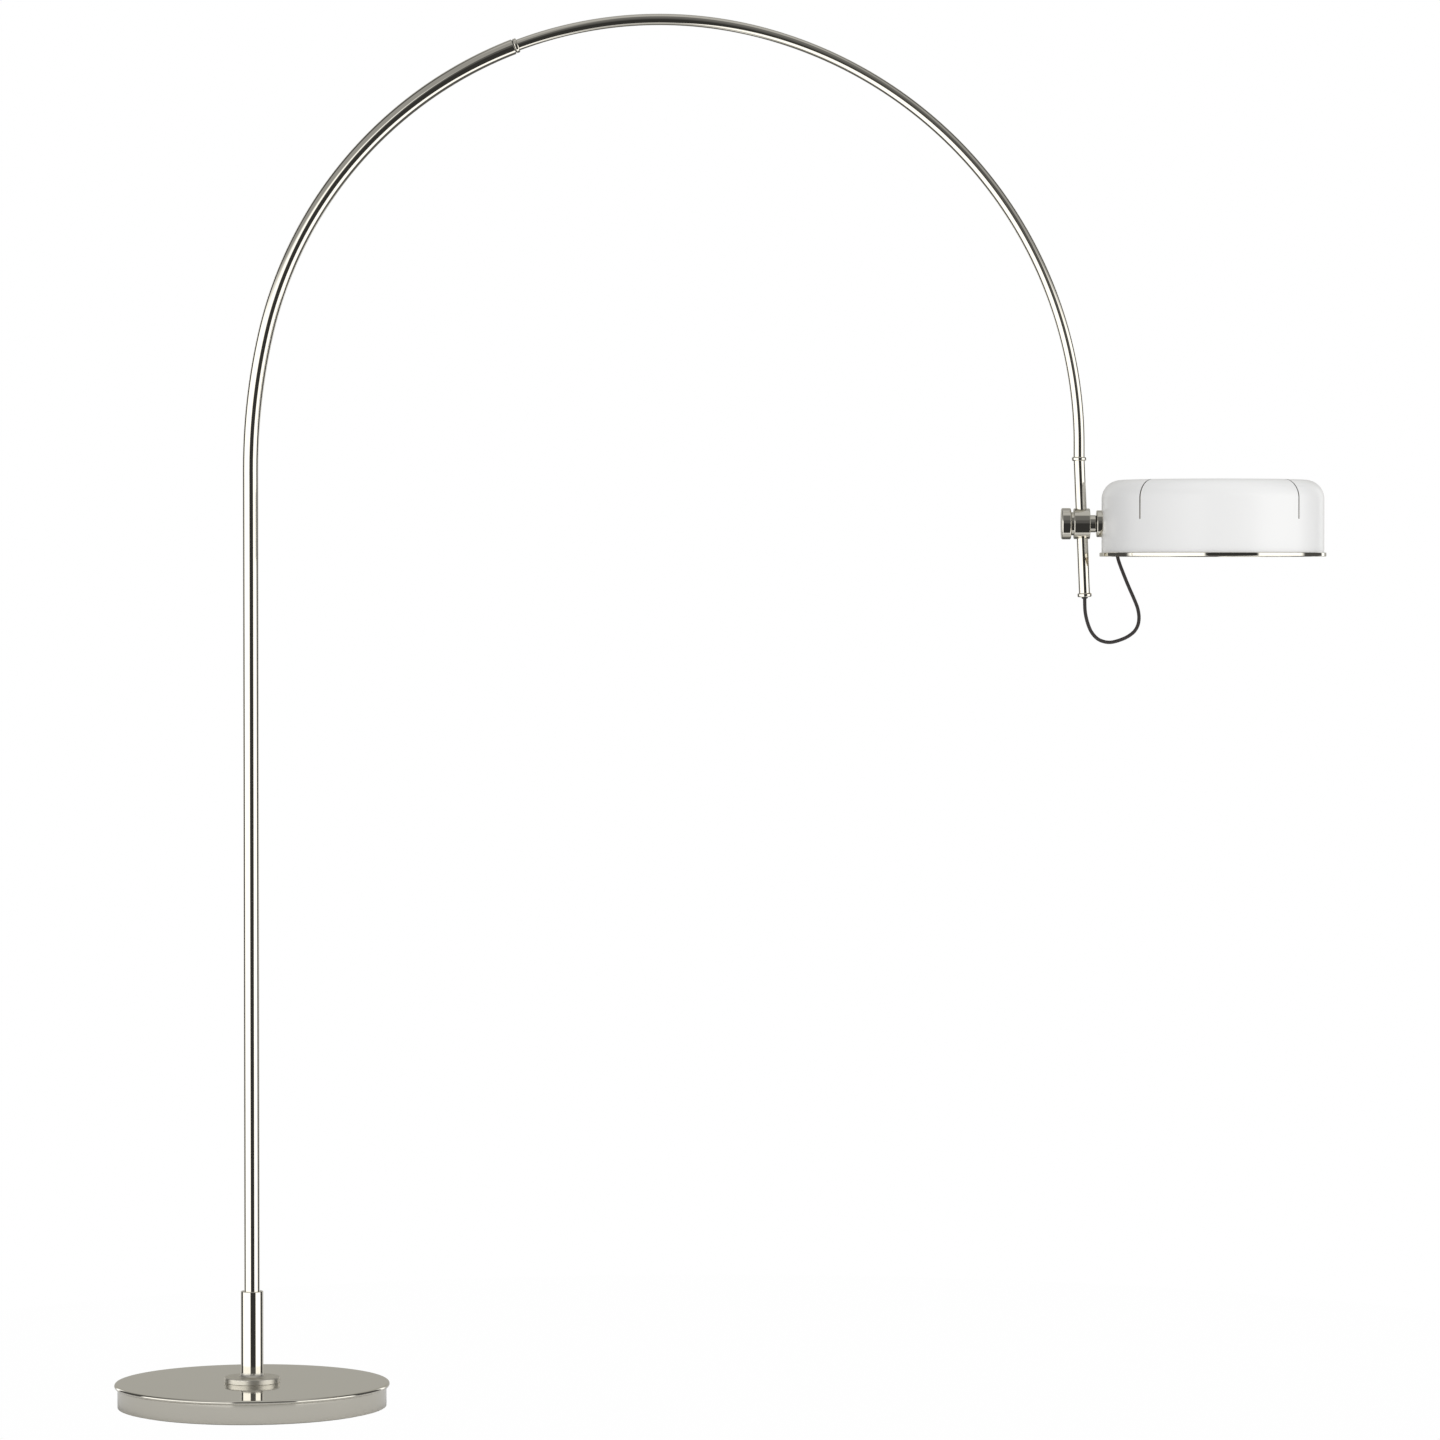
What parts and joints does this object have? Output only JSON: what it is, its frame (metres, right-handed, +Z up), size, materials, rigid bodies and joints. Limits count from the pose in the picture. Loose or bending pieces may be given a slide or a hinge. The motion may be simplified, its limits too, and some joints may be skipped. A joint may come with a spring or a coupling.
{
  "type": "arc floor lamp",
  "caption": "Arc floor lamp: weighted round base, tall bent tube in two diameters, and a slit round shade that slides, swings and tilts on the tube's straight end.",
  "frame": {"origin": "centre of the base's underside, on the floor", "axes": "+Z up, +X from the column towards the shade, so the whole lamp lies along the XZ plane"},
  "size_m": [1.7214, 0.391, 1.9786],
  "materials": {
    "polished_nickel": "mirror-polished warm nickel plate on steel",
    "white_enamel": "satin white enamel on sheet steel",
    "cord_braid": "woven dark brown textile cord cover",
    "cast_iron": "as cast, primed",
    "zinc_steel": "zinc-plated steel",
    "black_plastic": "fine-grained black nylon",
    "nylon": "natural nylon",
    "black_rubber": "matte",
    "foam": "closed-cell foam, matte",
    "brass": "plain turned",
    "white_ceramic": "glazed",
    "opal_glass": "opal bulb, lit"
  },
  "bodies": {
    "stand": {"foot_pad": "foam", "bottom_plate": "zinc_steel", "bottom_screws": "zinc_steel", "base_weight": "cast_iron", "base_skirt": "polished_nickel", "base_cover": "polished_nickel", "mains_grommet": "black_rubber", "cable_clip": "nylon", "foot_flange": "polished_nickel", "column_sleeve": "polished_nickel", "sleeve_set_screw": "zinc_steel", "foot_stud": "zinc_steel", "stud_washer": "zinc_steel", "stud_nut": "zinc_steel", "lower_tube": "polished_nickel", "joint_bush": "black_plastic", "joint_ring": "polished_nickel", "joint_set_screw": "zinc_steel", "upper_tube": "polished_nickel", "stop_ring": "polished_nickel", "drop_joiner": "zinc_steel", "drop_tube": "polished_nickel", "end_collar": "polished_nickel", "inner_cable": "black_rubber"},
    "swivel": {"cord_gland": "black_plastic", "head_cord": "cord_braid"},
    "clamp": {"clamp_body": "polished_nickel", "clamp_liner": "nylon", "pressure_pad": "brass", "pivot_boss": "polished_nickel", "tilt_spindle": "zinc_steel", "wave_washer": "zinc_steel", "tilt_nut": "zinc_steel", "cord_hub": "black_plastic"},
    "knob": {"clamp_knob": "polished_nickel", "clamp_screw": "zinc_steel"},
    "shade": {"pivot_disc": "polished_nickel", "friction_washer": "black_plastic", "backing_washer": "zinc_steel", "shade_shell": "white_enamel", "shade_rim": "polished_nickel", "rim_screws": "zinc_steel", "lamp_stem": "zinc_steel", "junction_box": "white_enamel", "junction_cover": "white_enamel", "terminal_block": "nylon", "lead_conduit": "zinc_steel", "lampholders": "white_ceramic", "bulb_caps": "brass", "bulb_glass": "opal_glass"}
  },
  "joints": [
    {"name": "head_swivel", "type": "hinge", "parent": "stand", "child": "swivel", "pos_m": [1.17944, 0, 1.25666], "axis": [-0.0419, 0, 0.9991], "range_deg": [-150, 150]},
    {"name": "head_slide", "type": "slide", "parent": "swivel", "child": "clamp", "axis": [-0.0419, 0, 0.9991], "range_m": [-0.074, 0.066], "deforming": ["head_cord"]},
    {"name": "shade_tilt", "type": "hinge", "parent": "clamp", "child": "shade", "pos_m": [1.17944, 0, 1.25666], "axis": [1, 0, 0], "range_deg": [-60, 60]},
    {"name": "knob_turn", "type": "hinge", "parent": "clamp", "child": "knob", "pos_m": [1.17944, 0, 1.25666], "axis": [1, 0, 0], "range_deg": [0, 360]}
  ]
}
